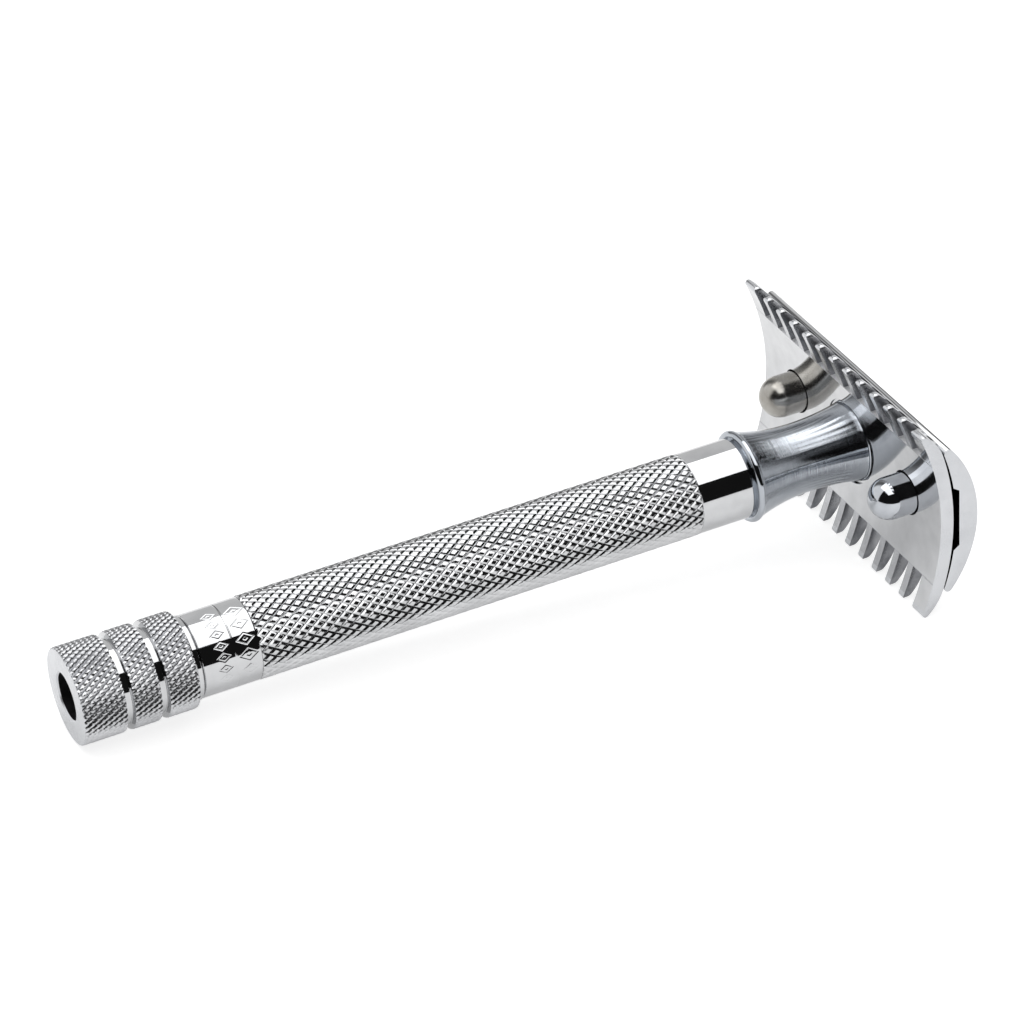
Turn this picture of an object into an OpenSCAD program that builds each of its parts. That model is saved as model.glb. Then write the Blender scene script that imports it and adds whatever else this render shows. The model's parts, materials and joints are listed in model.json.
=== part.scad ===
// Open-comb safety razor for double-edge blades, lying on its comb tips and knob rim.
// Turned sections and head sections are drawn along the razor's own axis, knob end at 0,
// and one module lays the whole razor down on the table.

/* [Knob] */
// Radius over the knob's knurled bands
knob_r = 5.8; // [5.4:0.05:6.4]
// Radius at the bottom of the knob's two grooves
knob_groove_r = 5.1; // [4.8:0.05:5.3]
// Length of the knob, end face to shoulder
knob_len = 13.95; // [13.4:0.05:14.7]
// Width of each groove, edge to edge
knob_groove_w = 1.0; // [0.7:0.05:1.3]
// Start of the first groove, from the end face
knob_groove_1 = 5.1; // [4.6:0.05:5.6]
// Start of the second groove, from the end face
knob_groove_2 = 9.3; // [8.7:0.05:9.9]
// Radius of the hole in the end face
knob_bore_r = 2.8; // [2.75:0.05:3.2]
// Free depth of the hole in the end face, down to the screw head
knob_bore_depth = 9.0; // [7:0.5:10]
// Chamfer on the knob's rims
knob_chamfer = 0.22; // [0.1:0.02:0.3]

/* [Grip] */
// Outer radius of the grip tube's smooth ends
grip_r = 4.95; // [4.8:0.05:5.3]
// Radius over the knurl of the grip tube
knurl_r = 5.0; // [4.85:0.05:5.35]
// Wall of the grip tube
grip_wall = 1.35; // [1:0.05:1.5]
// Thickness of the spacer ring between knob and tube
ring_t = 0.7; // [0.5:0.05:1]
// Length of the smooth band next to the knob
band_len = 7.1; // [6:0.1:8]
// Length of the knurled stretch of the tube
knurl_len = 56.5; // [50:0.5:62]
// Length of the smooth band next to the neck
front_band_len = 6.8; // [5.5:0.1:8]
// Length of the spigots that centre knob and neck in the tube
spigot_len = 6; // [4:0.5:7]

/* [Neck] */
// Largest radius of the bead
bead_r = 5.67; // [5.4:0.01:5.9]
// Radius of the round that forms the bead
bead_round = 0.48; // [0.4:0.02:0.6]
// Radius at the narrowest place of the neck
waist_r = 4.25; // [4.1:0.05:4.5]
// Distance of the narrowest place in front of the tube's end
waist_at = 8.8; // [8:0.1:9.6]
// Curve radius of the neck on the bead's side
waist_curve_back = 24.5; // [22:0.5:30]
// Curve radius of the neck on the head's side
waist_curve_front = 34; // [30:0.5:40]
// Length of the neck in front of the tube, seam included
neck_len = 15.9; // [15:0.05:16.5]

/* [Head] */
// Length of comb plate and cap along the cutting edge
head_len = 41.8; // [40:0.2:43]
// Thickness of the comb plate
plate_t = 1.7; // [1.4:0.1:2]
// Curve radius of the comb plate's face towards the handle
plate_curve = 30.3; // [28:0.1:34]
// Half the width of the comb plate, to the tooth tips
comb_half = 12.56; // [12:0.02:13]
// Half the width of the plate where the gaps between the teeth end
gap_root = 8.2; // [7.6:0.1:9]
// Width of each gap between two teeth
gap_w = 2.05; // [1.8:0.05:2.2]
// Number of gaps on each side
gap_n = 12; // [12]
// Width of the wide tooth at each end
end_tooth_w = 2.45; // [2.3:0.05:2.6]
// Rounding of the tooth corners
tooth_round = 0.45; // [0.2:0.05:0.5]
// Radius of the round at the very tip of a tooth
tip_round = 0.4; // [0.3:0.05:0.5]
// Radius of the curve that thins the teeth towards their tips, on the cap's side
tip_taper = 6.5; // [5:0.5:8]
// Curve radius of the cap's outer face
cap_curve = 15.3; // [14.8:0.1:16]
// Height of the cap's crown above the comb plate's crown
cap_rise = 3.25; // [3:0.05:3.6]
// Rounding of the cap's long edges
cap_edge = 0.55; // [0.45:0.05:0.6]
// Curve radius of the two lands under the cap that press on the blade
land_curve = 28; // [27:0.1:30]
// Height of the lands' curve above the comb plate's crown, where they would meet
land_rise = 0.36; // [0.34:0.02:0.5]
// Half the width of the recess under the cap, at its floor
recess_half = 3.8; // [3.6:0.05:4]
// Height of the recess floor above the comb plate's crown
recess_rise = 0.8; // [0.6:0.05:1]

/* [Pins and stud] */
// Distance between the two locating pins
pin_span = 26.2; // [25.6:0.1:27]
// Radius of a locating pin
pin_r = 2.6; // [2.3:0.05:2.7]
// How far a pin stands out of the comb plate, tip of its dome included
pin_out = 4.95; // [4:0.05:5.5]
// Radius of the threaded stud, over its M5 thread
stud_r = 2.5; // [2.5]
// Pitch of the stud's thread
stud_pitch = 0.8; // [0.8]
// Turns of the handle until the stud leaves the bush
stud_turns = 8; // [6:1:9]

/* [Hidden] */
$fn = 128;

// places along the razor's axis, from the knob's end face
ring_at = knob_len + 0.1;
tube_at = ring_at + ring_t + 0.1;
knurl_at = tube_at + band_len;
front_band_at = knurl_at + knurl_len;
tube_end = front_band_at + front_band_len;
neck_end = tube_end + neck_len;
waist = tube_end + waist_at;
bead_at = tube_end + 0.85;
seam_r = grip_r - 0.45;
tube_bore_r = grip_r - grip_wall;

// comb plate: two arcs about one centre; the outer one curves in to a small round at each tip
seat = neck_end + 0.05;
plate_inner = seat - 0.1;
plate_crown = plate_inner + plate_t;
plate_c = plate_inner - plate_curve;
plate_out_r = plate_curve + plate_t;
tip_reach = plate_curve + tip_round;
tip_angle = asin((comb_half - tip_round) / tip_reach);
tip_at = plate_c + tip_reach * cos(tip_angle);
taper_reach = plate_out_r - tip_taper;
taper_inner = tip_taper - tip_round;
taper_span = acos((taper_reach * taper_reach + tip_reach * tip_reach - taper_inner * taper_inner)
                  / (2 * taper_reach * tip_reach));
taper_angle = tip_angle - taper_span;
tooth_w = (head_len - 2 * end_tooth_w - gap_n * gap_w) / (gap_n - 1);
gap_pitch = gap_w + tooth_w;
seat_r = grip_r + 0.4;

// cap: outer arc, two land arcs, and an edge circle that is tangent to both
cap_crown = plate_crown + cap_rise;
cap_c = cap_crown - cap_curve;
land_c = plate_crown + land_rise - land_curve;
edge_out = cap_curve - cap_edge;
edge_in = land_curve + cap_edge;
edge_gap = cap_c - land_c;
edge_a = ((edge_in * edge_in - edge_out * edge_out) / edge_gap + land_c + cap_c) / 2;
edge_w = sqrt(edge_out * edge_out - (edge_a - cap_c) * (edge_a - cap_c));
recess_floor = plate_crown + recess_rise;
recess_slope = 0.69;
insert_depth = 1.5;

// stud, bush and pins
stud_tip = neck_end - stud_turns * stud_pitch;
bush_len = 8;
bush_r = 3.4;
run_fit = 0.05;
pin_hole_r = pin_r + 0.1;
pin_tip = plate_inner - pin_out;

// tie screw, M3, head at the bottom of the knob's hole
screw_r = 1.5;
screw_head_r = 2.4;
screw_head_h = 3;
washer_t = 0.6;
screw_reach = 7;

// how the razor lies: knob rim and lower tooth tips on the table
lie_run = tip_at - knob_chamfer;
lie_drop = comb_half - tip_round - knob_r;
lie_angle = atan2(lie_drop, lie_run) + asin(tip_round / sqrt(lie_run * lie_run + lie_drop * lie_drop));
lie_height = knob_r * cos(lie_angle) - knob_chamfer * sin(lie_angle);
reach_back = -(knob_r - knob_chamfer) * sin(lie_angle);
reach_front = cap_c * cos(lie_angle) + cap_curve;
lie_shift = -(reach_back + reach_front) / 2;

// chrome of the outside, bare steel inside, satin plate
chrome = [0.80, 0.81, 0.83];
satin = [0.70, 0.71, 0.73];
steel = [0.55, 0.56, 0.58];
brass = [0.78, 0.65, 0.35];

// lays a child that is drawn along the razor's own axis on the table
module lying() translate([lie_shift, 0, lie_height]) rotate([0, -lie_angle, 0]) children();

// a turned solid: points are [radius, place along the axis]
module turned(points) rotate([0, 90, 0]) rotate_extrude() polygon(points);

// a round bar or hole along the axis, from place a to place b
module bar(r, a, b) translate([a, 0, 0]) rotate([0, 90, 0]) cylinder(r = r, h = b - a);

// a flat outline of [place, height], pulled along the cutting edge to a length about the middle
module along_edge(len) translate([0, len / 2, 0]) rotate([90, 0, 0]) linear_extrude(len) children();

module knob() {
    g = knob_groove_w;
    s = 0.16;
    web = knob_bore_depth + washer_t + screw_head_h;
    color(chrome) lying() difference() {
        turned([[0, 0], [knob_r - knob_chamfer, 0], [knob_r, knob_chamfer],
                [knob_r, knob_groove_1], [knob_groove_r, knob_groove_1 + s],
                [knob_groove_r, knob_groove_1 + g - s], [knob_r, knob_groove_1 + g],
                [knob_r, knob_groove_2], [knob_groove_r, knob_groove_2 + s],
                [knob_groove_r, knob_groove_2 + g - s], [knob_r, knob_groove_2 + g],
                [knob_r, knob_len - knob_chamfer], [knob_r - knob_chamfer, knob_len],
                [tube_bore_r, knob_len], [tube_bore_r, tube_at + spigot_len - 0.3],
                [tube_bore_r - 0.3, tube_at + spigot_len], [0, tube_at + spigot_len]]);
        bar(knob_bore_r, -1, knob_bore_depth);
        bar(screw_head_r + 0.1, knob_bore_depth - 1, web);
        bar(screw_r + 0.1, web - 1, tube_at + spigot_len + 1);
        turned([[0, -0.1], [knob_bore_r + 0.35, -0.1], [knob_bore_r, 0.25], [0, 0.25]]);
    }
}

module spacer_ring() {
    c = 0.12;
    r = grip_r + 0.1;
    color(chrome) lying() difference() {
        turned([[0, ring_at], [r - c, ring_at], [r, ring_at + c],
                [r, ring_at + ring_t - c], [r - c, ring_at + ring_t], [0, ring_at + ring_t]]);
        bar(tube_bore_r, ring_at - 1, ring_at + ring_t + 1);
    }
}

module grip_tube() {
    c = 0.15;
    color(chrome) lying() difference() {
        turned([[0, tube_at], [grip_r - c, tube_at], [grip_r, tube_at + c],
                [grip_r, knurl_at], [knurl_r, knurl_at + 0.1],
                [knurl_r, front_band_at - 0.1], [grip_r, front_band_at],
                [grip_r, tube_end - c], [grip_r - c, tube_end], [0, tube_end]]);
        bar(tube_bore_r, tube_at - 1, tube_end + 1);
    }
}

module tie_screw() {
    head_at = knob_bore_depth;
    key = 2.5;
    color(steel) lying() difference() {
        union() {
            bar(screw_head_r, head_at, head_at + screw_head_h);
            bar(screw_r, head_at + screw_head_h - 0.1, tube_end - spigot_len + screw_reach);
        }
        translate([head_at - 1, 0, 0]) rotate([0, 90, 0]) cylinder(d = key / cos(30), h = 2.5, $fn = 6);
    }
}

module lock_washer() {
    at = knob_bore_depth + screw_head_h;
    color(steel) lying() difference() {
        bar(screw_head_r, at, at + washer_t);
        bar(screw_r + 0.1, at - 1, at + washer_t + 1);
    }
}

// half section of the neck's outside, as [radius, place]: waist between two arcs, bead at the tube
module neck_outline() {
    far = 40;
    translate([bead_r - bead_round, bead_at]) circle(bead_round);
    translate([0, bead_at - bead_round]) square([bead_r - bead_round, 2 * bead_round]);
    difference() {
        translate([0, bead_at]) square([bead_r, neck_end - bead_at]);
        intersection() {
            translate([waist_r + waist_curve_back, waist]) circle(waist_curve_back);
            translate([0, waist - far]) square([far, far]);
        }
        intersection() {
            translate([waist_r + waist_curve_front, waist]) circle(waist_curve_front);
            translate([0, waist]) square([far, far]);
        }
    }
}

module neck() {
    tail = tube_end - spigot_len;
    groove = 0.08;
    groove_at = neck_end - 0.3;
    rim = 0.15;
    color(chrome) lying() difference() {
        union() {
            rotate([0, 90, 0]) rotate_extrude() neck_outline();
            turned([[0, tail], [tube_bore_r - 0.3, tail], [tube_bore_r, tail + 0.3],
                    [tube_bore_r, tube_end], [seam_r, tube_end], [seam_r, bead_at], [0, bead_at]]);
        }
        bar(bush_r, neck_end - bush_len, neck_end + 1);
        bar(screw_r, tail - 1, tail + screw_reach + 1);
        turned([[grip_r - 0.12, groove_at], [grip_r + 1, groove_at - groove],
                [grip_r + 1, groove_at + groove]]);
        turned([[grip_r + 0.15 - rim, neck_end + 0.1], [grip_r + 1, neck_end + 0.1],
                [grip_r + 1, neck_end - 1 - rim], [grip_r + 0.15, neck_end - rim]]);
    }
}

module thread_bush() {
    back = neck_end - bush_len;
    color(brass) lying() difference() {
        bar(bush_r, back, neck_end);
        bar(stud_r + run_fit, back - 1, neck_end + 1);
        turned([[0, neck_end - 0.3], [stud_r + run_fit, neck_end - 0.3],
                [stud_r + run_fit + 0.4, neck_end + 0.1], [0, neck_end + 0.1]]);
    }
}

// one tip of the comb plate's section, about the arcs' centre: tapered strip and small round
module plate_tip() {
    tip = tip_reach * [cos(tip_angle), sin(tip_angle)];
    taper = taper_reach * [cos(taper_angle), sin(taper_angle)];
    far = 2 * plate_out_r;
    ray = 3;
    intersection() {
        difference() {
            translate(taper) circle(tip_taper);
            circle(plate_curve);
        }
        polygon([[0, 0], far * [cos(taper_angle), sin(taper_angle)], far * [cos(tip_angle), sin(tip_angle)]]);
    }
    intersection() {
        translate(taper) circle(tip_taper);
        polygon([tip, tip + ray * [cos(tip_angle), sin(tip_angle)], tip + ray * (tip - taper) / taper_inner]);
    }
    translate(tip) circle(tip_round);
}

// section of the comb plate: a curved strip that ends in two tips
module plate_outline() {
    translate([plate_c, 0]) {
        intersection() {
            difference() {
                circle(plate_out_r);
                circle(plate_curve);
            }
            polygon([[0, 0], 2 * plate_out_r * [cos(taper_angle), sin(taper_angle)],
                     2 * plate_out_r * [cos(taper_angle), -sin(taper_angle)]]);
        }
        for (m = [0, 1]) mirror([0, m]) plate_tip();
    }
}

// one tooth seen from the handle, pointing to +y, with its two corners rounded
module tooth(width) {
    r = tooth_round;
    root = gap_root - 0.5;
    translate([-width / 2, root]) square([width, comb_half - r - root]);
    translate([r - width / 2, root]) square([width - 2 * r, comb_half - root]);
    for (s = [-1, 1]) translate([s * (width / 2 - r), comb_half - r]) circle(r);
}

// both combs seen from the handle; the end teeth run past the plate's ends and are cut there
module comb_outline() {
    over = 1;
    end_w = end_tooth_w + over;
    square([head_len + 2 * over, 2 * gap_root], center = true);
    for (m = [0, 1]) mirror([0, m]) {
        for (k = [1 : gap_n - 1])
            translate([-head_len / 2 + end_tooth_w + k * gap_pitch - tooth_w / 2, 0]) tooth(tooth_w);
        for (s = [-1, 1]) translate([s * (head_len / 2 + over - end_w / 2), 0]) tooth(end_w);
    }
}

module comb_plate() {
    sink = 0.15;
    color(satin) lying() difference() {
        intersection() {
            along_edge(head_len) plate_outline();
            translate([plate_crown - 8, 0, 0]) rotate([90, 0, 90]) linear_extrude(9) comb_outline();
        }
        bar(seat_r, seat - 4, seat);
        bar(stud_r + 0.1, plate_inner - 1, plate_crown + 1);
        for (s = [-1, 1]) translate([0, s * pin_span / 2, 0]) {
            bar(pin_hole_r, plate_inner - 1, plate_crown + 1);
            turned([[0, plate_inner - sink], [pin_hole_r + 2 * sink, plate_inner - sink],
                    [pin_hole_r, plate_inner + sink], [0, plate_inner + sink]]);
        }
    }
}

// section of the cap: outer arc, rounded edges, two lands and the recess between them
module cap_outline() {
    mouth = recess_floor - 1.5;
    difference() {
        union() {
            intersection() {
                translate([cap_c, 0]) circle(cap_curve);
                polygon([[land_c, 0], [edge_a, edge_w], [cap_c + 3 * (edge_a - cap_c), 3 * edge_w],
                         [cap_c + 3 * (edge_a - cap_c), -3 * edge_w], [edge_a, -edge_w]]);
            }
            for (s = [-1, 1]) translate([edge_a, s * edge_w]) circle(cap_edge);
        }
        translate([land_c, 0]) circle(land_curve);
        polygon([[recess_floor, recess_half], [mouth, recess_half + 1.5 * recess_slope],
                 [mouth, -recess_half - 1.5 * recess_slope], [recess_floor, -recess_half]]);
    }
}

module cap() {
    top = recess_floor + insert_depth;
    color(chrome) lying() difference() {
        along_edge(head_len) cap_outline();
        bar(stud_r, recess_floor - 1, top);
        for (s = [-1, 1]) translate([0, s * pin_span / 2, 0]) bar(pin_r, recess_floor - 1, top);
    }
}

module cap_stud() {
    c = 0.5;
    top = recess_floor + insert_depth;
    color(steel) lying()
        turned([[0, stud_tip], [stud_r - c, stud_tip], [stud_r, stud_tip + c], [stud_r, top], [0, top]]);
}

// a pin of the cap on one side of the stud, domed towards the handle
module locating_pin(side) {
    color(chrome) lying() translate([0, side * pin_span / 2, 0]) {
        bar(pin_r, pin_tip + pin_r, recess_floor + insert_depth);
        translate([pin_tip + pin_r, 0, 0]) sphere(pin_r);
    }
}

module locating_pin_near() locating_pin(-1);

module locating_pin_far() locating_pin(1);

knob();
spacer_ring();
grip_tube();
tie_screw();
lock_washer();
neck();
thread_bush();
comb_plate();
cap();
cap_stud();
locating_pin_near();
locating_pin_far();
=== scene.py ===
"""Looks of an open-comb safety razor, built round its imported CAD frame.

Lengths are in millimetres along the razor's own axis (place 0 is the knob's end face, x runs towards
the head, y along the cutting edge, z across the comb) until place_mesh() turns them into metres and
lays them down as the CAD razor lies.
"""

import json
import math

import bmesh
import bpy
import numpy as np
from mathutils import Matrix, Vector


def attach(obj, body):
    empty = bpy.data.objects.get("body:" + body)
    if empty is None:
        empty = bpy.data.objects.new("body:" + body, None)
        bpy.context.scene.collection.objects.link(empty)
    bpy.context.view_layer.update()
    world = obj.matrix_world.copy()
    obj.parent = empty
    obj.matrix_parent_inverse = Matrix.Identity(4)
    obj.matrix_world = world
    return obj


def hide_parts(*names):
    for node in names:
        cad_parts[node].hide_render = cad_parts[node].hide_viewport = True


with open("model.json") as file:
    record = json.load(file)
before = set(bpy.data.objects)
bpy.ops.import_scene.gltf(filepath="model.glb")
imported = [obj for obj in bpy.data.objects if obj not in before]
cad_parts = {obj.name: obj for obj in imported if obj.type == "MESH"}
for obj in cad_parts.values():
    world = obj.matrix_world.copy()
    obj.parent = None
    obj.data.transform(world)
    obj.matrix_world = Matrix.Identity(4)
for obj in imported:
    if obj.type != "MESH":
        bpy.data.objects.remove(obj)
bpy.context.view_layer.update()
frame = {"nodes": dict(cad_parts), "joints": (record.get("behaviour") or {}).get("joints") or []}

# ---------------------------------------------------------------- sizes, as in the CAD part

KNOB_R, KNOB_LEN, KNOB_GROOVE_R = 5.8, 13.95, 5.1
KNOB_GROOVES, KNOB_GROOVE_W = (5.1, 9.3), 1.0
KNOB_BORE_R, KNOB_BORE_DEPTH = 2.8, 9.0
SCREW_HEAD_R, SCREW_HEAD_END, SCREW_HOLE_R = 2.5, 12.6, 1.6
GRIP_R, KNURL_R, GRIP_BORE_R = 4.95, 5.0, 3.6
RING_AT, RING_T = 14.05, 0.7
TUBE_AT, KNURL_AT, FRONT_BAND_AT, TUBE_END = 14.85, 21.95, 78.45, 85.25
BEAD_AT, BEAD_R, BEAD_ROUND, SEAM_R = 86.1, 5.67, 0.48, 4.5
WAIST_AT, WAIST_R, WAIST_BACK, WAIST_FRONT = 94.05, 4.25, 24.5, 34.0
NECK_END, BUSH_R, BUSH_LEN = 101.15, 3.4, 8.0
SPIGOT_LEN, SCREW_R = 6.0, 1.5
HEAD_LEN, PLATE_T, PLATE_CURVE, COMB_HALF = 41.8, 1.7, 30.3, 12.56
TIP_ROUND, TIP_TAPER = 0.4, 6.5
PLATE_INNER = NECK_END - 0.05
GAP_ROOT, GAP_W, GAP_N, END_TOOTH_W = 8.2, 2.05, 12, 2.45
CAP_CURVE, CAP_RISE, CAP_EDGE, LAND_CURVE, LAND_RISE = 15.3, 3.25, 0.55, 28.0, 0.36
RECESS_HALF, RECESS_RISE, RECESS_SLOPE = 3.8, 0.8, 0.69
PIN_SPAN, PIN_R, PIN_OUT = 26.2, 2.6, 4.95
STUD_R, STUD_PITCH, STUD_TURNS = 2.5, 0.8, 8
INSERT_DEPTH = 1.5

PLATE_CENTRE = PLATE_INNER - PLATE_CURVE
PLATE_CROWN = PLATE_INNER + PLATE_T
TIP_REACH, TAPER_REACH = PLATE_CURVE + TIP_ROUND, PLATE_CURVE + PLATE_T - TIP_TAPER
TIP_ANGLE = math.asin((COMB_HALF - TIP_ROUND) / TIP_REACH)
TAPER_ANGLE = TIP_ANGLE - math.acos((TAPER_REACH ** 2 + TIP_REACH ** 2 - (TIP_TAPER - TIP_ROUND) ** 2)
                                    / (2 * TAPER_REACH * TIP_REACH))
TOOTH_W = (HEAD_LEN - 2 * END_TOOTH_W - GAP_N * GAP_W) / (GAP_N - 1)
TOOTH_ROUND, ROOT_ROUND = 0.53, 0.06
RECESS_FLOOR = PLATE_CROWN + RECESS_RISE

turn_joint = next(j for j in frame["joints"] if j["name"] == "head_turn")
AXIS = Vector(turn_joint["axis"]).normalized()
SIDE = Vector((0, 1, 0))
LYING = Matrix((AXIS, SIDE, AXIS.cross(SIDE))).transposed().to_4x4()
LYING.translation = Vector(turn_joint["pos_m"]) - AXIS * NECK_END / 1000


# ---------------------------------------------------------------- mesh helpers

def place_mesh(mesh):
    """Turns a mesh in millimetres on the razor's own axis into metres in the CAD frame."""
    mesh.transform(LYING @ Matrix.Scale(0.001, 4))


def new_piece(name, mesh, material, body, slot, *nodes):
    """Adds a finished mesh as a piece that rides on a body and stands for some CAD nodes."""
    piece = bpy.data.objects.new(name, mesh)
    bpy.context.scene.collection.objects.link(piece)
    mesh.materials.append(material)
    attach(piece, body)
    if nodes:
        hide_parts(*nodes)
    return piece


def repaint(piece, materials, choose):
    """Adds materials to a piece. choose(centre, normal), in millimetres on the razor's own axis, says
    which one a face takes: 0 for the piece's first material, 1 for the first one added."""
    back = LYING.inverted()
    turn = back.to_3x3()
    for material in materials:
        piece.data.materials.append(material)
    for face in piece.data.polygons:
        face.material_index = choose(back @ face.center * 1000, turn @ face.normal)


def arc(centre, radius, start, end, steps):
    """Points on an arc, angles in degrees."""
    turns = [math.radians(start + (end - start) * i / steps) for i in range(steps + 1)]
    return [(centre[0] + radius * math.cos(t), centre[1] + radius * math.sin(t)) for t in turns]


def rounded(points, radius, steps=4, closed=False):
    """Rounds the corners of an outline. A point may carry its own radius as a third value."""
    out = []
    count = len(points)
    for i, p in enumerate(points):
        if not closed and i in (0, count - 1):
            out.append(tuple(p[:2]))
            continue
        here = Vector(p[:2])
        back = Vector(points[i - 1][:2]) - here
        ahead = Vector(points[(i + 1) % count][:2]) - here
        r = p[2] if len(p) > 2 else radius
        bend = back.angle(ahead)
        if r <= 0 or abs(math.pi - bend) < 0.05:
            out.append(tuple(here))
            continue
        cut = min(r / math.tan(bend / 2), 0.45 * back.length, 0.45 * ahead.length)
        r = cut * math.tan(bend / 2)
        back.normalize()
        ahead.normalize()
        middle = here + (back + ahead).normalized() * (r / math.sin(bend / 2))
        first, last = here + back * cut - middle, here + ahead * cut - middle
        for k in range(steps + 1):
            t = k / steps
            angle = first.angle(last)
            share = (math.sin((1 - t) * angle) * first + math.sin(t * angle) * last) / math.sin(angle)
            out.append(tuple(middle + share))
    return out


def with_supports(points, gap=0.05):
    """Adds a point close to both ends of each long straight, so that shading stays true along it."""
    out = []
    for p, q in zip(points, points[1:] + points[:1]):
        out.append(p)
        length = math.dist(p, q)
        if length > 5 * gap:
            for t in (gap / length, 1 - gap / length):
                out.append((p[0] + (q[0] - p[0]) * t, p[1] + (q[1] - p[1]) * t))
    return out


def mesh_from(name, points, faces, sharp=40):
    """A smooth-shaded mesh with its sharp edges marked, laid down in the CAD frame."""
    mesh = bpy.data.meshes.new(name)
    mesh.from_pydata([tuple(p) for p in points], [], faces)
    bm = bmesh.new()
    bm.from_mesh(mesh)
    on_axis = [v for v in bm.verts if math.hypot(v.co.y, v.co.z) < 1e-6]
    if on_axis:
        bmesh.ops.remove_doubles(bm, verts=on_axis, dist=1e-4)
        bmesh.ops.dissolve_degenerate(bm, dist=1e-7, edges=bm.edges)
    bmesh.ops.recalc_face_normals(bm, faces=bm.faces)
    bm.to_mesh(mesh)
    bm.free()
    mesh.shade_smooth()
    mesh.set_sharp_from_angle(angle=math.radians(sharp))
    place_mesh(mesh)
    return mesh


def lathe_mesh(name, rows, turns, sharp=40, middle=(0, 0)):
    """A turned mesh from a closed loop of rows (place, radius, split). turns is a number of columns, or
    their angles, from -y towards +z. Radius is one number, or one for each column; split, where given,
    says for each column which way the face behind the row is cut. middle is the (y, z) of the axis."""
    turn = np.linspace(0, 2 * math.pi, turns, endpoint=False) if isinstance(turns, int) else turns
    columns = len(turn)
    points, faces = [], []
    for place, radius, *_ in rows:
        r = np.broadcast_to(radius, columns)
        y, z = middle[0] - r * np.cos(turn), middle[1] + r * np.sin(turn)
        points.extend(np.stack([np.full(columns, place), y, z], -1))
    for i, row in enumerate(rows):
        low, high = i * columns, (i + 1) % len(rows) * columns
        split = row[2] if len(row) > 2 else None
        for j in range(columns):
            k = (j + 1) % columns
            if split is None:
                faces.append((low + j, high + j, high + k, low + k))
            elif split[j]:
                faces += [(low + j, high + j, high + k), (low + j, high + k, low + k)]
            else:
                faces += [(low + j, high + j, low + k), (high + j, high + k, low + k)]
    return mesh_from(name, points, faces, sharp)


# ---------------------------------------------------------------- knurling

KNURL_STEPS = 8          # mesh steps across one diamond, along the axis and round it


def knurl_rows(start, end, radius, starts, pitch, depth, cross, half, chamfer):
    """Rows of a diamond knurl between two places: two crossing families of helical grooves, the second
    one cross times as deep, with flat-topped diamonds between them and a chamfer at both ends. half is
    half a groove's width, as a share of the distance between two grooves."""
    count = round((end - start) / pitch * KNURL_STEPS)
    column = np.arange(starts * KNURL_STEPS)

    def groove(phase):
        """How deep a groove is, 0 to 1, at a phase counted in mesh steps."""
        away = np.abs((phase / KNURL_STEPS + 0.5) % 1 - 0.5)
        return 1 - np.minimum(away / half, 1)

    rows = []
    for i in range(count + 1):
        place = start + (end - start) * i / count
        deep = np.maximum(groove(column - i), cross * groove(column + i))
        limit = radius - max(0, chamfer - min(place - start, end - place))
        along_first = groove(column - i) >= cross * groove(column + i + 1)
        rows.append((place, np.minimum(radius - depth * deep, limit), along_first))
    return rows


# ---------------------------------------------------------------- materials

class Nodes:
    """A material's node tree, with short calls for the nodes that it needs."""

    def __init__(self, name):
        self.material = bpy.data.materials.new(name)
        self.material.use_nodes = True
        self.tree = self.material.node_tree
        self.shader = self.tree.nodes["Principled BSDF"]

    def add(self, kind, inputs=(), **settings):
        node = self.tree.nodes.new(kind)
        for key, value in settings.items():
            setattr(node, key, value)
        for socket, value in dict(inputs).items():
            if isinstance(value, bpy.types.NodeSocket):
                self.tree.links.new(value, node.inputs[socket])
            else:
                node.inputs[socket].default_value = value
        return node

    def math(self, operation, a, b=0.0):
        return self.add("ShaderNodeMath", {0: a, 1: b}, operation=operation).outputs[0]

    def ramp(self, value, low, high, to_low=0.0, to_high=1.0):
        inputs = {"Value": value, "From Min": low, "From Max": high, "To Min": to_low, "To Max": to_high}
        return self.add("ShaderNodeMapRange", inputs).outputs[0]

    def noise(self, vector, scale, detail=2.0, rough=0.5):
        inputs = {"Vector": vector, "Scale": scale, "Detail": detail, "Roughness": rough}
        return self.add("ShaderNodeTexNoise", inputs).outputs["Fac"]

    def place(self):
        """Position in the CAD frame, in millimetres."""
        here = self.add("ShaderNodeTexCoord").outputs["Object"]
        return self.add("ShaderNodeVectorMath", {0: here, "Scale": 1000.0}, operation="SCALE").outputs[0]

    def along_axis(self, place):
        """Distance along the razor's axis, in millimetres."""
        return self.add("ShaderNodeVectorMath", {0: place, 1: AXIS}, operation="DOT_PRODUCT").outputs["Value"]

    def bump(self, height, distance, strength=1.0):
        inputs = {"Height": height, "Distance": distance / 1000, "Strength": strength}
        self.tree.links.new(self.add("ShaderNodeBump", inputs).outputs[0], self.shader.inputs["Normal"])

    def mix(self, share, first, second):
        node = self.add("ShaderNodeMix", {0: share}, data_type="RGBA")
        for socket, colour in ((6, first), (7, second)):
            if isinstance(colour, bpy.types.NodeSocket):
                self.tree.links.new(colour, node.inputs[socket])
            else:
                node.inputs[socket].default_value = (*colour, 1)
        return node.outputs[2]

    def finish(self, colour, roughness):
        self.shader.inputs["Metallic"].default_value = 1.0
        for socket, value in (("Base Color", colour), ("Roughness", roughness)):
            self.tree.links.new(value, self.shader.inputs[socket])
        return self.material


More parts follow.
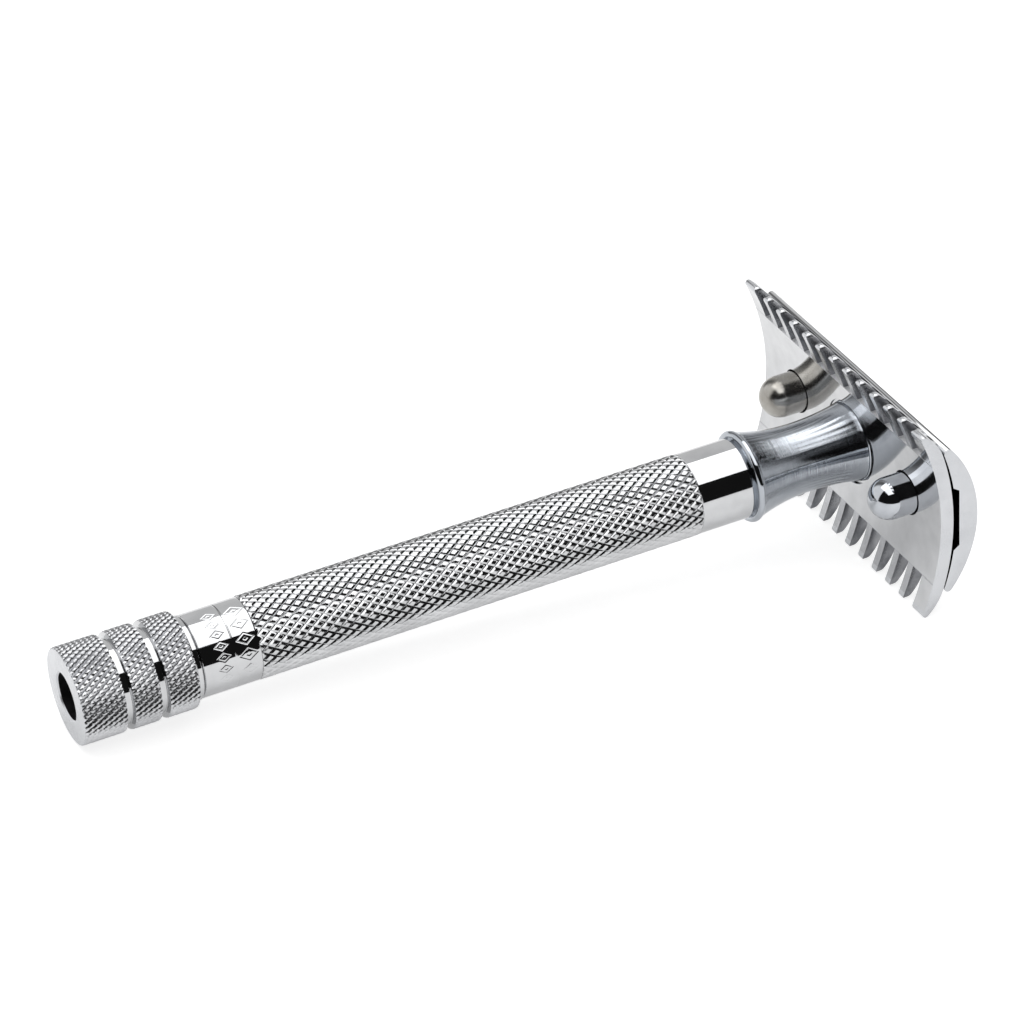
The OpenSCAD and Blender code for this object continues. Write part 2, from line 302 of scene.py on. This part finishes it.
def metal(name, light, dark, shine, haze, grain=0.0, grain_size=0.1, turned=0.0, turn_size=0.12):
    """A metal surface. Its colour drifts between light and dark, its roughness between shine and haze.
    grain is the height of an all-over texture and turned that of the lathe's rings, both in millimetres."""
    n = Nodes(name)
    place = n.place()
    cloud = n.noise(place, 0.35, 3.0)
    fine = n.noise(place, 9.0, 4.0, 0.6)
    colour = n.mix(n.ramp(cloud, 0.35, 0.7), light, dark)
    smear = n.math("ADD", n.math("MULTIPLY", cloud, 0.5), n.math("MULTIPLY", fine, 0.5))
    roughness = n.ramp(smear, 0.35, 0.65, shine, haze)
    height = n.math("MULTIPLY", n.noise(place, 1 / grain_size, 3.0, 0.65), grain)
    if turned:
        line = n.math("MULTIPLY", n.along_axis(place), 1 / turn_size)
        rings = n.add("ShaderNodeTexNoise", {"W": line, "Scale": 1.0, "Detail": 3.0, "Roughness": 0.7},
                      noise_dimensions="1D").outputs["Fac"]
        height = n.math("ADD", height, n.math("MULTIPLY", rings, turned))
    if grain or turned:
        n.bump(height, 1.0)
    return n.finish(colour, roughness)


CHROME, CHROME_DARK = (0.60, 0.605, 0.615), (0.53, 0.535, 0.545)

polished = metal("polished_chrome", CHROME, CHROME_DARK, 0.025, 0.07, grain=0.0004, grain_size=0.6)
knurled = metal("knurled_chrome", CHROME, (0.50, 0.505, 0.515), 0.08, 0.18, grain=0.003, grain_size=0.12)
frosted = metal("frosted_chrome", (0.58, 0.585, 0.60), (0.46, 0.465, 0.48), 0.16, 0.3,
                grain=0.012, grain_size=0.11)
satin = metal("satin_chrome", (0.60, 0.61, 0.63), (0.55, 0.56, 0.58), 0.2, 0.32, grain=0.002, grain_size=0.2)
brushed = metal("brushed_chrome", (0.52, 0.525, 0.54), (0.42, 0.425, 0.44), 0.2, 0.36,
                grain=0.012, grain_size=0.12)
# Milled walls of the gaps: rough like a milled face, and much darker than the plate as painted shade between
# the teeth.
milled_painted_shade = metal("milled_chrome_painted_shade", (0.36, 0.365, 0.38), (0.17, 0.175, 0.19), 0.2, 0.38,
               grain=0.03, grain_size=0.14)
ground = metal("ground_chrome", (0.68, 0.685, 0.70), (0.58, 0.585, 0.60), 0.5, 0.65,
               grain=0.01, grain_size=0.14)
# Painted shade: near-black walls for bores and holes, standing for the shade inside them.
bore_painted_shade = metal("bore_painted_shade_steel", (0.05, 0.05, 0.055), (0.02, 0.02, 0.02), 0.5, 0.7, grain=0.004)
# The neck's lathe rings are a bump; its base colour, darker than the other chrome, is painted shade for the
# darker reflections round the neck.
turned_chrome_painted_shade = metal("turned_chrome_painted_shade", (0.46, 0.485, 0.52), (0.39, 0.415, 0.45), 0.03, 0.07,
                      grain=0.0006, grain_size=0.5, turned=0.014, turn_size=0.16)
plate_chrome = metal("plate_chrome", CHROME, CHROME_DARK, 0.05, 0.12, grain=0.0012, grain_size=0.4)
cap_chrome = metal("cap_chrome", CHROME, CHROME_DARK, 0.03, 0.08, grain=0.0005, grain_size=0.6)
# The near pin is a little darker and bluer than the other chrome; the far pin is browner, darker and rougher
# than the near one.
pin_chrome = metal("pin_chrome", (0.53, 0.55, 0.58), (0.42, 0.44, 0.47), 0.04, 0.12,
                   grain=0.002, grain_size=0.5)
pin_brown_satin = metal("pin_brown_satin", (0.44, 0.43, 0.41), (0.30, 0.285, 0.255), 0.16, 0.30,
                 grain=0.008, grain_size=0.16)
stud_steel = metal("stud_steel", (0.60, 0.61, 0.63), (0.46, 0.47, 0.49), 0.15, 0.3, grain=0.002)
screw_steel = metal("screw_steel", (0.34, 0.35, 0.37), (0.2, 0.2, 0.22), 0.3, 0.45, grain=0.004)
washer_steel = metal("washer_steel", (0.4, 0.41, 0.43), (0.3, 0.3, 0.32), 0.25, 0.4, grain=0.003)
bush_brass = metal("bush_brass", (0.78, 0.62, 0.32), (0.6, 0.45, 0.2), 0.12, 0.3, turned=0.004)


# ---------------------------------------------------------------- turned pieces

KNOB_KNURL = dict(radius=KNOB_R, starts=45, pitch=1.27, depth=0.25, cross=0.4, half=0.3125, chamfer=0.08)
GRIP_KNURL = dict(radius=KNURL_R, starts=30, pitch=1.64, depth=0.16, cross=0.8, half=0.21, chamfer=0.1)


def turned_line(points, radius=0.06):
    """Rows for lathe_mesh from an open line of (place, radius) with its corners rounded."""
    line = rounded(points, radius)
    out = with_supports(line)
    return out[:out.index(line[-1]) + 1]


def knob_rows():
    """The knob's section, once round: three knurled bands with two grooves, the spigot and the hole."""
    inside, end = GRIP_BORE_R, TUBE_AT + SPIGOT_LEN
    edge = KNOB_R - KNOB_KNURL["chamfer"]
    rows = []
    at = 0.06
    for groove in KNOB_GROOVES:
        past = groove + KNOB_GROOVE_W
        rows += knurl_rows(at, groove, **KNOB_KNURL)
        rows += turned_line([(groove + 0.01, edge), (groove + 0.16, KNOB_GROOVE_R),
                             (past - 0.16, KNOB_GROOVE_R), (past - 0.01, edge)])
        at = past
    rows += knurl_rows(at, KNOB_LEN - 0.05, **KNOB_KNURL)
    rows += turned_line([(KNOB_LEN, KNOB_R - 0.26), (KNOB_LEN, inside), (end - 0.3, inside),
                         (end, inside - 0.3), (end, SCREW_HOLE_R), (SCREW_HEAD_END, SCREW_HOLE_R),
                         (SCREW_HEAD_END, SCREW_HEAD_R),
                         (KNOB_BORE_DEPTH, SCREW_HEAD_R), (KNOB_BORE_DEPTH, KNOB_BORE_R),
                         (0.2, KNOB_BORE_R), (0, KNOB_BORE_R + 0.2), (0, KNOB_R - 0.18)])
    return rows


def ring_rows():
    """The spacer ring's section."""
    r, c, inside, end = GRIP_R + 0.1, 0.12, GRIP_BORE_R, RING_AT + RING_T
    line = [(RING_AT, inside), (RING_AT, r - c), (RING_AT + c, r),
            (end - c, r), (end, r - c), (end, inside)]
    return turned_line(line, 0.04)


ROW_NEAR_KNOB, ROW_NEAR_KNURL, LINE_AT = (16.7, 18.3), (19.4, 21.5), 18.95
ROW_MIDDLE, CUT_DEPTH, CUT_WIDTH = 36.7, 0.045, 0.13


def ornament(place, turn):
    """How deep the cut ornament is, 0 to 1: a ring line, and a row of lozenges on each side of it."""
    run = math.radians((math.degrees(turn) - ROW_MIDDLE + 180) % 360 - 180) * GRIP_R
    away = abs(place - LINE_AT)
    for (low, high), pitch, count in ((ROW_NEAR_KNOB, 1.35, 7), (ROW_NEAR_KNURL, 1.85, 5)):
        if abs(run) > count * pitch / 2 or not low - CUT_WIDTH < place < high + CUT_WIDTH:
            continue
        reach = (high - low) / 2
        across = (place - (low + high) / 2) / reach
        cell = (run / pitch + 0.5) % 1 - 0.5
        size = abs(across) + abs(cell) / 0.37
        away = min(away, abs(size - 1) * reach * 0.62, max(0, size - 0.2) * reach * 0.62)
    return max(0.0, 1 - max(0.0, away - 0.03) / (CUT_WIDTH / 2))


def band_turns():
    """Column angles of the band: close together where its ornament is, wide apart elsewhere."""
    fine, wide, half = 250, 110, math.radians(58)
    middle = math.radians(ROW_MIDDLE)
    return np.concatenate([np.linspace(middle - half, middle + half, fine, endpoint=False),
                           np.linspace(middle + half, middle + 2 * math.pi - half, wide, endpoint=False)])


def band_rows(turns):
    """The smooth band next to the knob, a sleeve with the ornament cut into it."""
    c, inside = 0.12, GRIP_BORE_R
    rows = turned_line([(TUBE_AT, inside), (TUBE_AT, GRIP_R - c), (TUBE_AT + c, GRIP_R),
                        (TUBE_AT + 0.85, GRIP_R)], 0.04)
    for place in np.arange(ROW_NEAR_KNOB[0] - 0.2, ROW_NEAR_KNURL[1] + 0.2, 0.045):
        cut = np.array([ornament(place, t) for t in turns])
        rows.append((place, GRIP_R - CUT_DEPTH * cut))
    rows += turned_line([(KNURL_AT - 0.1, GRIP_R), (KNURL_AT, GRIP_R - 0.06), (KNURL_AT, inside)], 0.03)
    return rows


def grip_rows():
    """The knurled stretch of the tube and the smooth band next to the neck."""
    c, inside = 0.15, GRIP_BORE_R
    rows = [(KNURL_AT + 0.005, inside), (KNURL_AT + 0.005, GRIP_R - 0.2)]
    rows += knurl_rows(KNURL_AT + 0.02, FRONT_BAND_AT, **GRIP_KNURL)
    rows += turned_line([(FRONT_BAND_AT + 0.02, GRIP_R - 0.1), (FRONT_BAND_AT + 0.1, GRIP_R),
                         (TUBE_END - c, GRIP_R), (TUBE_END, GRIP_R - c), (TUBE_END, inside)], 0.05)
    return rows


def neck_line():
    """The neck's outside from its bead to its rim, as (place, radius)."""
    bead = (BEAD_AT, BEAD_R - BEAD_ROUND)
    line = arc(bead, BEAD_ROUND, 210, 60, 15)

    def waist(place):
        curve = WAIST_BACK if place < WAIST_AT else WAIST_FRONT
        return WAIST_R + curve - math.sqrt(curve ** 2 - (place - WAIST_AT) ** 2)

    start = BEAD_AT + BEAD_ROUND * 0.75
    rim = NECK_END - 0.3
    places = [start + (rim - 0.12 - start) * i / 60 for i in range(61)]
    line += [(p, waist(p)) for p in places if waist(p) < line[-1][1] - 0.01]
    groove_r = GRIP_R - 0.14
    lip = [(rim - 0.07, waist(rim)), (rim - 0.04, groove_r), (rim + 0.04, groove_r),
           (rim + 0.08, waist(rim)), (NECK_END - 0.12, GRIP_R + 0.08), (NECK_END, GRIP_R - 0.06)]
    return line + rounded(lip, 0.03, 3)


def neck_rows():
    """The neck's section, once round."""
    tail, inside = TUBE_END - SPIGOT_LEN, GRIP_BORE_R
    bottom = NECK_END - BUSH_LEN
    back = turned_line([(NECK_END, BUSH_R), (bottom, BUSH_R), (bottom, SCREW_R), (tail, SCREW_R),
                        (tail, inside - 0.3), (tail + 0.3, inside), (TUBE_END, inside),
                        (TUBE_END, SEAM_R), (BEAD_AT - 0.7, SEAM_R), (BEAD_AT - 0.3, SEAM_R)])
    return neck_line() + back


STUD_COLUMNS = 64


def stud_rows():
    """The cap's stud with its thread, from its tip to where it is fixed in the cap."""
    turn = np.linspace(0, 2 * math.pi, STUD_COLUMNS, endpoint=False)
    tip, top = NECK_END - STUD_TURNS * STUD_PITCH, RECESS_FLOOR + INSERT_DEPTH
    depth = 0.54 * STUD_PITCH
    rows = [(tip, 0.0), (tip, STUD_R - 0.75), (tip, STUD_R - 0.6)]
    for place in np.arange(tip + 0.05, PLATE_INNER + 0.4, STUD_PITCH / 8):
        phase = (turn / (2 * math.pi) - place / STUD_PITCH) % 1
        flank = np.clip(np.abs(phase - 0.5) * 2.9 - 0.2, 0, 1)
        limit = STUD_R - max(0.0, 0.5 - (place - tip))
        rows.append((place, np.minimum(STUD_R - depth * flank, limit)))
    rows += [(PLATE_INNER + 0.6, STUD_R - 0.3), (PLATE_INNER + 0.8, STUD_R), (top, STUD_R), (top, 0.0)]
    return rows


def pin_rows():
    """One of the cap's pins, domed towards the handle."""
    tip, top = PLATE_INNER - PIN_OUT, RECESS_FLOOR + INSERT_DEPTH
    dome = [(tip + PIN_R - PIN_R * math.cos(a), PIN_R * math.sin(a))
            for a in np.linspace(0, math.pi / 2, 33)]
    return dome + [(tip + PIN_R + 0.05, PIN_R), (top - 0.05, PIN_R), (top, PIN_R), (top, 0.0)]


def knob_finish(centre, normal):
    """1 in the polished grooves, 2 on the satin end face, 3 in the hole, whose walls take painted shade,
    otherwise 0.
    """
    radius = math.hypot(centre.y, centre.z)
    # The hole's walls take the near-black painted shade.
    if radius < KNOB_BORE_R + 0.03 and centre.x > 0.2:
        return 3
    if centre.x < 0.12:
        return 2
    in_groove = any(at < centre.x < at + KNOB_GROOVE_W for at in KNOB_GROOVES)
    return 1 if in_groove or centre.x > KNOB_LEN else 0


knob_mesh = lathe_mesh("knob", knob_rows(), 360, sharp=28)
knob = new_piece("knob_turned", knob_mesh, frosted, "handle", "knob_chrome", "knob")
repaint(knob, (polished, satin, bore_painted_shade), knob_finish)

ring_mesh = lathe_mesh("ring", ring_rows(), 160)
new_piece("ring_turned", ring_mesh, polished, "handle", "ring_chrome", "spacer_ring")

grip_mesh = lathe_mesh("grip", grip_rows(), 240, sharp=28)
grip = new_piece("grip_turned", grip_mesh, knurled, "handle", "grip_chrome", "grip_tube")
repaint(grip, (polished,), lambda centre, normal: int(centre.x > FRONT_BAND_AT))

columns = band_turns()
band_mesh = lathe_mesh("band", band_rows(columns), columns, sharp=50)
new_piece("grip_band", band_mesh, polished, "handle", "grip_chrome", "grip_tube")

neck_mesh = lathe_mesh("neck", neck_rows(), 192, sharp=35)
new_piece("neck_turned", neck_mesh, turned_chrome_painted_shade, "handle", "neck_chrome", "neck")

stud_mesh = lathe_mesh("stud", stud_rows(), STUD_COLUMNS)
new_piece("stud_threaded", stud_mesh, stud_steel, "blade_cap", "stud_steel", "cap_stud")

for node, side, material in (("locating_pin_near", -1, pin_chrome), ("locating_pin_far", 1, pin_brown_satin)):
    mesh = lathe_mesh(node, pin_rows(), 96, middle=(side * PIN_SPAN / 2, 0))
    new_piece(node + "_domed", mesh, material, "blade_cap", "pin_chrome", node)

# the inside pieces keep their CAD shape
hidden = {"tie_screw": screw_steel, "lock_washer": washer_steel, "thread_bush": bush_brass}
for node, material in hidden.items():
    frame["nodes"][node].data.materials.clear()
    frame["nodes"][node].data.materials.append(material)


# ---------------------------------------------------------------- head

def prism(name, outline, low, high, axis):
    """A closed prism of a flat outline. axis "y": outline is (x, z); axis "x": outline is (y, z)."""
    bm = bmesh.new()

    def put(p, h):
        return (p[0], h, p[1]) if axis == "y" else (h, p[0], p[1])

    first = [bm.verts.new(put(p, low)) for p in outline]
    second = [bm.verts.new(put(p, high)) for p in outline]
    bm.faces.new(first)
    bm.faces.new(second[::-1])
    for i in range(len(outline)):
        k = (i + 1) % len(outline)
        bm.faces.new((first[k], first[i], second[i], second[k]))
    bmesh.ops.recalc_face_normals(bm, faces=bm.faces)
    mesh = bpy.data.meshes.new(name)
    bm.to_mesh(mesh)
    bm.free()
    helper = bpy.data.objects.new(name, mesh)
    bpy.context.scene.collection.objects.link(helper)
    return helper


def circle(centre, radius, steps):
    return arc(centre, radius, 0, 360, steps)[:-1]


def cut(target, helper, operation="DIFFERENCE"):
    """Applies a boolean and removes the helper."""
    modifier = target.modifiers.new("cut", "BOOLEAN")
    modifier.operation, modifier.object, modifier.solver = operation, helper, "EXACT"
    apply_modifiers(target)
    bpy.data.objects.remove(helper)


def apply_modifiers(target):
    graph = bpy.context.evaluated_depsgraph_get()
    graph.update()
    done = bpy.data.meshes.new_from_object(target.evaluated_get(graph))
    target.modifiers.clear()
    target.data = done


def plate_section():
    """The comb plate's section, as (x, z): a curved strip whose outer face curves in to a small round tip."""
    start, tip = math.degrees(TAPER_ANGLE), math.degrees(TIP_ANGLE)
    taper_at = TAPER_REACH * Vector((math.cos(TAPER_ANGLE), math.sin(TAPER_ANGLE)))
    tip_at = TIP_REACH * Vector((math.cos(TIP_ANGLE), math.sin(TIP_ANGLE)))
    meet = math.degrees(math.atan2(*(tip_at - taper_at).yx))
    half = arc((0, 0), PLATE_CURVE + PLATE_T, 0, start, 40)
    half += arc(taper_at, TIP_TAPER, start, meet, 14)[1:]
    half += arc(tip_at, TIP_ROUND, meet, tip + 180, 12)[1:]
    half += arc((0, 0), PLATE_CURVE, tip, 0, 60)[1:]
    outline = half + [(x, -z) for x, z in half[-2:0:-1]]
    return [(PLATE_CENTRE + x, z) for x, z in outline]


def comb_outline():
    """Both combs seen from the handle, as (y, z), with rounded tooth corners."""
    far, pitch, high = HEAD_LEN / 2 + 1, GAP_W + TOOTH_W, COMB_HALF + 0.005
    side = [(-far, high)]
    at = -HEAD_LEN / 2 + END_TOOTH_W
    for _ in range(GAP_N):
        side += [(at, high), (at, GAP_ROOT), (at + GAP_W, GAP_ROOT), (at + GAP_W, high)]
        at += pitch
    side.append((far, high))
    corners = side + [(-y, -z) for y, z in side]
    rounding = [(y, z, ROOT_ROUND if abs(z) == GAP_ROOT else TOOTH_ROUND) for y, z in corners]
    return rounded(rounding, TOOTH_ROUND, 9, closed=True)


def finish_head(target, width, normal_of):
    """Breaks the sharp edges, lays the mesh down and gives every corner its true surface normal."""
    bm = bmesh.new()
    bm.from_mesh(target.data)
    bmesh.ops.remove_doubles(bm, verts=bm.verts, dist=1e-4)
    bm.to_mesh(target.data)
    bm.free()
    bevel = target.modifiers.new("edges", "BEVEL")
    bevel.width, bevel.segments, bevel.limit_method = width, 2, "ANGLE"
    bevel.angle_limit, bevel.use_clamp_overlap = math.radians(32), True
    apply_modifiers(target)
    mesh = target.data
    mesh.shade_smooth()
    mesh.update()
    tilt = LYING.to_3x3()
    corner_normals = [Vector(n.vector) for n in mesh.corner_normals]
    normals = []
    for face in mesh.polygons:
        for loop in face.loop_indices:
            point = mesh.vertices[mesh.loops[loop].vertex_index].co
            normals.append(normal_of(point, face.normal, corner_normals[loop]))
    place_mesh(mesh)
    mesh.normals_split_custom_set([tilt @ n for n in normals])
    return mesh


def plate_normal(point, flat, smooth):
    """The comb plate's true normal at a point."""
    spoke = Vector((point.x - PLATE_CENTRE, 0, point.z))
    radius = spoke.length
    spoke.normalize()
    angle = abs(math.atan2(point.z, point.x - PLATE_CENTRE))
    on_inner = abs(radius - PLATE_CURVE) < 0.004 and angle < TIP_ANGLE + 1e-4
    on_outer = abs(radius - PLATE_CURVE - PLATE_T) < 0.004 and angle < TAPER_ANGLE + 1e-4
    if on_inner and flat.dot(spoke) < -0.6:
        return -spoke
    if on_outer and flat.dot(spoke) > 0.6:
        return spoke
    return smooth


PIN_GAP = 0.18           # room round a pin, at the broken edge of its hole
HOLES = ((0, STUD_R + 0.1), (-PIN_SPAN / 2, PIN_R + PIN_GAP), (PIN_SPAN / 2, PIN_R + PIN_GAP))


def plate_finish(centre, normal):
    """1 on the milled walls of the gaps, coloured dark as painted shade, 2 on the ground end faces and tips,
    3 in the holes, coloured near black as painted shade, 4 on the teeth's faces, 5 on the roots of the gaps,
    otherwise 0."""
    across, along = abs(centre.z), abs(centre.y)
    if along > HEAD_LEN / 2 - 0.02:
        return 2
    # The gap walls take the milled material with its painted shade.
    if abs(normal.y) > 0.75 and across > GAP_ROOT - 0.1:
        return 1
    if abs(across - GAP_ROOT) < 0.08 and abs(normal.z) > 0.6 and abs(normal.x) < 0.4:
        return 5
    # Faces in the holes take the near-black painted shade.
    near_hole = any(math.hypot(centre.y - y, centre.z) < r + 0.03 for y, r in HOLES)
    if abs(normal.x) < 0.9 and near_hole:
        return 3
    if across > COMB_HALF - 0.9 or across > GAP_ROOT + 0.5 and normal.x > 0:
        return 2
    return 4 if across > GAP_ROOT and along < HEAD_LEN / 2 - END_TOOTH_W else 0


def build_plate():
    plate = prism("plate", plate_section(), -HEAD_LEN / 2, HEAD_LEN / 2, "y")
    cut(plate, prism("comb", comb_outline(), PLATE_CROWN - 8, PLATE_CROWN + 1, "x"), "INTERSECT")
    cut(plate, prism("seat", circle((0, 0), GRIP_R + 0.4, 96), NECK_END - 4, NECK_END + 0.05, "x"))
    for (y, r), steps, room in zip(HOLES, (64, 96, 96), (1, 2, 2)):
        cut(plate, prism("hole", circle((y, 0), r, steps), PLATE_INNER - room, PLATE_CROWN + 1, "x"))
    mesh = finish_head(plate, 0.07, plate_normal)
    bpy.data.objects.remove(plate)
    piece = new_piece("comb_plate_cut", mesh, plate_chrome, "guard", "plate_chrome", "comb_plate")
    repaint(piece, (milled_painted_shade, satin, bore_painted_shade, brushed, ground), plate_finish)


CAP_CENTRE = PLATE_CROWN + CAP_RISE - CAP_CURVE
LAND_CENTRE = PLATE_CROWN + LAND_RISE - LAND_CURVE


def cap_section():
    """The cap's section, as (x, z): outer arc, rounded edges, two lands and the recess."""
    outer, inner = CAP_CURVE - CAP_EDGE, LAND_CURVE + CAP_EDGE
    gap = CAP_CENTRE - LAND_CENTRE
    edge_x = ((inner ** 2 - outer ** 2) / gap + LAND_CENTRE + CAP_CENTRE) / 2
    edge_z = math.sqrt(outer ** 2 - (edge_x - CAP_CENTRE) ** 2)
    top = math.degrees(math.atan2(edge_z, edge_x - CAP_CENTRE))
    under = math.degrees(math.atan2(edge_z, edge_x - LAND_CENTRE))
    half = arc((CAP_CENTRE, 0), CAP_CURVE, 0, top, 60)
    half += arc((edge_x, edge_z), CAP_EDGE, top, under + 180, 14)[1:]

    def land(z):
        return math.sqrt(LAND_CURVE ** 2 - z ** 2) + LAND_CENTRE

    def recess_side(z):
        return RECESS_FLOOR - (z - RECESS_HALF) / RECESS_SLOPE

    mouth_z = RECESS_HALF
    while land(mouth_z) < recess_side(mouth_z):
        mouth_z += 0.001
    mouth = math.degrees(math.asin(mouth_z / LAND_CURVE))
    half += arc((LAND_CENTRE, 0), LAND_CURVE, under, mouth, 24)[1:]
    half.append((RECESS_FLOOR, RECESS_HALF))
    return half + [(x, -z) for x, z in half[:0:-1]]


def cap_normal(point, flat, smooth):
    """The cap's true normal at a point."""
    spoke = Vector((point.x - CAP_CENTRE, 0, point.z))
    radius = spoke.length
    spoke.normalize()
    if abs(radius - CAP_CURVE) < 0.004 and flat.dot(spoke) > 0.6:
        return spoke
    return smooth


def build_cap():
    cap = prism("cap", cap_section(), -HEAD_LEN / 2, HEAD_LEN / 2, "y")
    top = RECESS_FLOOR + INSERT_DEPTH
    for y, r in ((0, STUD_R), (-PIN_SPAN / 2, PIN_R), (PIN_SPAN / 2, PIN_R)):
        cut(cap, prism("hole", circle((y, 0), r, 96), RECESS_FLOOR - 1, top, "x"))
    mesh = finish_head(cap, 0.1, cap_normal)
    bpy.data.objects.remove(cap)
    piece = new_piece("cap_domed", mesh, cap_chrome, "blade_cap", "cap_chrome", "cap")
    repaint(piece, (satin,), lambda centre, normal: int(abs(centre.y) > HEAD_LEN / 2 - 0.02))


build_plate()
build_cap()


# ---------------------------------------------------------------- studio

def build_floor():
    """A pale paper floor that lights the razor from below. The camera sees it nearly shadowless."""
    n = Nodes("paper")
    shade = n.noise(n.place(), 0.02, 2.0)
    seen = n.add("ShaderNodeLightPath").outputs["Is Camera Ray"]
    n.shader.inputs["Roughness"].default_value = 0.9
    n.shader.inputs["Specular IOR Level"].default_value = 0.0
    lit = n.mix(seen, (0.78, 0.78, 0.78), (0.4, 0.4, 0.4))
    colour = n.mix(n.math("MULTIPLY", shade, 0.1), lit, (0.8, 0.8, 0.8))
    n.tree.links.new(colour, n.shader.inputs["Base Color"])
    n.shader.inputs["Emission Color"].default_value = (1, 1, 1, 1)
    n.tree.links.new(n.ramp(seen, 0, 1, 0.36, 0.8), n.shader.inputs["Emission Strength"])
    mesh = bpy.data.meshes.new("floor")
    mesh.from_pydata([(-6, -6, 0), (6, -6, 0), (6, 6, 0), (-6, 6, 0)], [], [(0, 1, 2, 3)])
    mesh.materials.append(n.material)
    floor = bpy.data.objects.new("floor", mesh)
    bpy.context.scene.collection.objects.link(floor)


SOFTBOX, WALL, WALL_SIDES, LEFT, ROOM = 1.9, 0.75, 0.16, 1.1, 0.01     # brightness of each


def build_lights():
    """A softbox straight above, and a dark room with a grey wall behind the razor and a white one on its
    left."""
    height, left, right = 0.65, -0.36, 0.5
    near, far = -height / math.tan(math.radians(51)), height / math.tan(math.radians(59.5))
    light = bpy.data.lights.new("softbox", "AREA")
    light.shape, light.size, light.size_y = "RECTANGLE", right - left, far - near
    light.energy = SOFTBOX * math.pi * light.size * light.size_y
    box = bpy.data.objects.new("softbox", light)
    box.location = ((left + right) / 2, (near + far) / 2, height)
    bpy.context.scene.collection.objects.link(box)

    world = bpy.data.worlds.new("room")
    bpy.context.scene.world = world
    world.use_nodes = True
    tree = world.node_tree

    def node(kind, inputs, **settings):
        made = tree.nodes.new(kind)
        for key, value in settings.items():
            setattr(made, key, value)
        for socket, value in inputs.items():
            if isinstance(value, bpy.types.NodeSocket):
                tree.links.new(value, made.inputs[socket])
            else:
                made.inputs[socket].default_value = value
        return made.outputs[0]

    def step(value, low, high, before, after):
        inputs = {"Value": value, "From Min": low, "From Max": high, "To Min": before, "To Max": after}
        return node("ShaderNodeMapRange", inputs, interpolation_type="SMOOTHSTEP")

    way = tree.nodes.new("ShaderNodeTexCoord").outputs["Generated"]
    parts = tree.nodes.new("ShaderNodeSeparateXYZ")
    tree.links.new(way, parts.inputs[0])
    x, y = parts.outputs["X"], parts.outputs["Y"]
    opening, closing = step(x, -0.1, 0.2, WALL_SIDES, WALL), step(x, 0.5, 0.62, WALL, WALL_SIDES)
    wall = node("ShaderNodeMath", {0: opening, 1: closing}, operation="MINIMUM")
    left_wall = step(x, -0.45, -0.2, LEFT, WALL_SIDES)
    walls = node("ShaderNodeMath", {0: wall, 1: left_wall}, operation="MAXIMUM")
    behind = node("ShaderNodeMath", {0: step(y, -0.02, 0.02, 0, 1), 1: walls}, operation="MULTIPLY")
    room = node("ShaderNodeMath", {0: behind, 1: ROOM}, operation="ADD")
    seen = tree.nodes.new("ShaderNodeLightPath").outputs["Is Camera Ray"]
    shown = node("ShaderNodeMapRange", {"Value": seen, "To Min": room, "To Max": 1.0})
    tree.links.new(shown, tree.nodes["Background"].inputs["Color"])


def build_camera():
    """The photograph's viewpoint: a long lens, 32 degrees above the table."""
    camera = bpy.data.cameras.new("camera")
    camera.lens, camera.sensor_width = 149.4, 36
    camera.clip_start, camera.clip_end = 0.01, 20
    eye = bpy.data.objects.new("camera", camera)
    forward, up = Vector((0.3757668, 0.7600182, -0.5302562)), Vector((0.2321726, 0.4767334, 0.8478332))
    eye.matrix_world = Matrix((forward.cross(up), up, -forward)).transposed().to_4x4()
    eye.location = (-0.1818308, -0.3735415, 0.2755833)
    bpy.context.scene.collection.objects.link(eye)
    bpy.context.scene.camera = eye


build_floor()
build_lights()
build_camera()
bpy.context.scene.view_settings.view_transform = "Standard"
